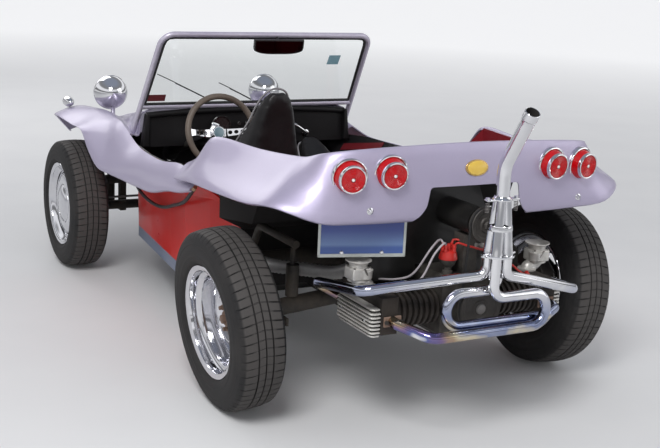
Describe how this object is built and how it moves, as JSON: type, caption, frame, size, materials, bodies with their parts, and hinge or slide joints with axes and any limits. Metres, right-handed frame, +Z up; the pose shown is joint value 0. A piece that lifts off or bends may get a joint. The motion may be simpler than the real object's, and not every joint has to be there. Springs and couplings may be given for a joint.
{
  "type": "dune buggy",
  "caption": "Open rear-engined dune buggy with a one-piece style moulded body, exposed air-cooled engine, raised exhaust, steered front wheels and free-rolling wheels.",
  "frame": {"origin": "on the ground, under the middle of the whole vehicle's length and width", "axes": "+X to the vehicle's right, +Y to its front, +Z up"},
  "size_m": [1.647, 3.4693, 1.25],
  "materials": {
    "pan_paint": "satin",
    "rail_paint": "satin",
    "tub_red": "gloss",
    "body_lavender": "metallic gloss",
    "liner_maroon": "gloss",
    "black_trim": "matte",
    "frame_metal": "satin",
    "clear_glass": "clear",
    "chrome": "polished",
    "lens_red": "clear",
    "seat_black": "satin",
    "steel_black": "satin",
    "steel_raw": "weathered",
    "cast_alloy": "cast",
    "cast_iron": "rough",
    "tyre_rubber": "matte",
    "hose_rubber": "matte",
    "wheel_grip": "satin",
    "plate_paint": "gloss"
  },
  "bodies": {
    "root": {"floor_pan": "pan_paint", "side_rails": "rail_paint", "lower_tub": "tub_red", "body_front": "body_lavender", "hood": "body_lavender", "body_rear": "body_lavender", "rear_liner": "liner_maroon", "dash": "black_trim", "windshield_frame": "frame_metal", "windshield_glass": "clear_glass", "windshield_fittings": "black_trim", "headlamps": "chrome", "turn_signals": "chrome", "tail_lamp_rings": "chrome", "tail_lamp_lenses": "lens_red", "steering_column": "steel_black", "front_beam": "steel_black", "front_arms": "steel_black", "transaxle": "cast_alloy", "axle_tubes": "steel_black", "rear_torsion": "steel_black", "crankcase": "cast_alloy", "cylinder_banks": "cast_iron", "rocker_covers": "cast_alloy", "fan_shroud": "steel_black", "generator": "steel_black", "belt_drive": "steel_raw", "carburettors": "cast_alloy", "ignition": "black_trim", "header_pipes": "chrome", "collector": "chrome", "licence_plate": "plate_paint", "driver_seat": "seat_black", "passenger_seat": "seat_black", "floor_controls": "steel_black", "side_hose": "hose_rubber", "hose_ends": "black_trim"},
    "knuckle_left": {"knuckle_left": "steel_black"},
    "knuckle_right": {"knuckle_right": "steel_black"},
    "tie_rod_left": {"tie_rod_left": "steel_black"},
    "tie_rod_right": {"tie_rod_right": "steel_black"},
    "pitman_arm": {"pitman_arm": "steel_black"},
    "steering_wheel": {"steering_wheel": "wheel_grip"},
    "wheel_front_left": {"tyre_front_left": "tyre_rubber", "rim_front_left": "chrome"},
    "wheel_front_right": {"tyre_front_right": "tyre_rubber", "rim_front_right": "chrome"},
    "wheel_rear_left": {"tyre_rear_left": "tyre_rubber", "rim_rear_left": "chrome"},
    "wheel_rear_right": {"tyre_rear_right": "tyre_rubber", "rim_rear_right": "chrome"}
  },
  "joints": [
    {"name": "steer_left", "type": "hinge", "parent": "root", "child": "knuckle_left", "pos_m": [-0.57, 1.0527, 0.319], "axis": [0, 0, 1], "range_deg": [-26, 26]},
    {"name": "steer_right", "type": "hinge", "parent": "root", "child": "knuckle_right", "pos_m": [0.57, 1.0527, 0.319], "axis": [0, 0, 1], "range_deg": [-26, 26]},
    {"name": "pitman_turn", "type": "hinge", "parent": "root", "child": "pitman_arm", "pos_m": [-0.1, 1.0527, 0.325], "axis": [0, 0, 1], "range_deg": [-26, 26]},
    {"name": "tie_rod_left_ball", "type": "hinge", "parent": "knuckle_left", "child": "tie_rod_left", "pos_m": [-0.57, 1.1527, 0.325], "axis": [0, 0, 1], "range_deg": [-26, 26]},
    {"name": "tie_rod_right_ball", "type": "hinge", "parent": "knuckle_right", "child": "tie_rod_right", "pos_m": [0.57, 1.1527, 0.325], "axis": [0, 0, 1], "range_deg": [-26, 26]},
    {"name": "steering_wheel_turn", "type": "hinge", "parent": "root", "child": "steering_wheel", "pos_m": [-0.31, 0.0527, 0.83], "axis": [0, -0.9542, 0.2991], "range_deg": [-338, 338]},
    {"name": "roll_front_left", "type": "hinge", "parent": "knuckle_left", "child": "wheel_front_left", "pos_m": [-0.683, 1.0527, 0.319], "axis": [1, 0, 0], "continuous": true},
    {"name": "roll_front_right", "type": "hinge", "parent": "knuckle_right", "child": "wheel_front_right", "pos_m": [0.683, 1.0527, 0.319], "axis": [1, 0, 0], "continuous": true},
    {"name": "roll_rear_left", "type": "hinge", "parent": "root", "child": "wheel_rear_left", "pos_m": [-0.706, -0.9773, 0.33201], "axis": [0.9954, 0, 0.0958], "continuous": true},
    {"name": "roll_rear_right", "type": "hinge", "parent": "root", "child": "wheel_rear_right", "pos_m": [0.706, -0.9773, 0.33201], "axis": [0.9954, 0, -0.0958], "continuous": true}
  ],
  "couplings": [
    {"joint": "steer_right", "follows": "steer_left", "ratio": 1},
    {"joint": "pitman_turn", "follows": "steer_left", "ratio": 1},
    {"joint": "tie_rod_left_ball", "follows": "steer_left", "ratio": -1},
    {"joint": "tie_rod_right_ball", "follows": "steer_left", "ratio": -1},
    {"joint": "steering_wheel_turn", "follows": "steer_left", "ratio": 13}
  ]
}
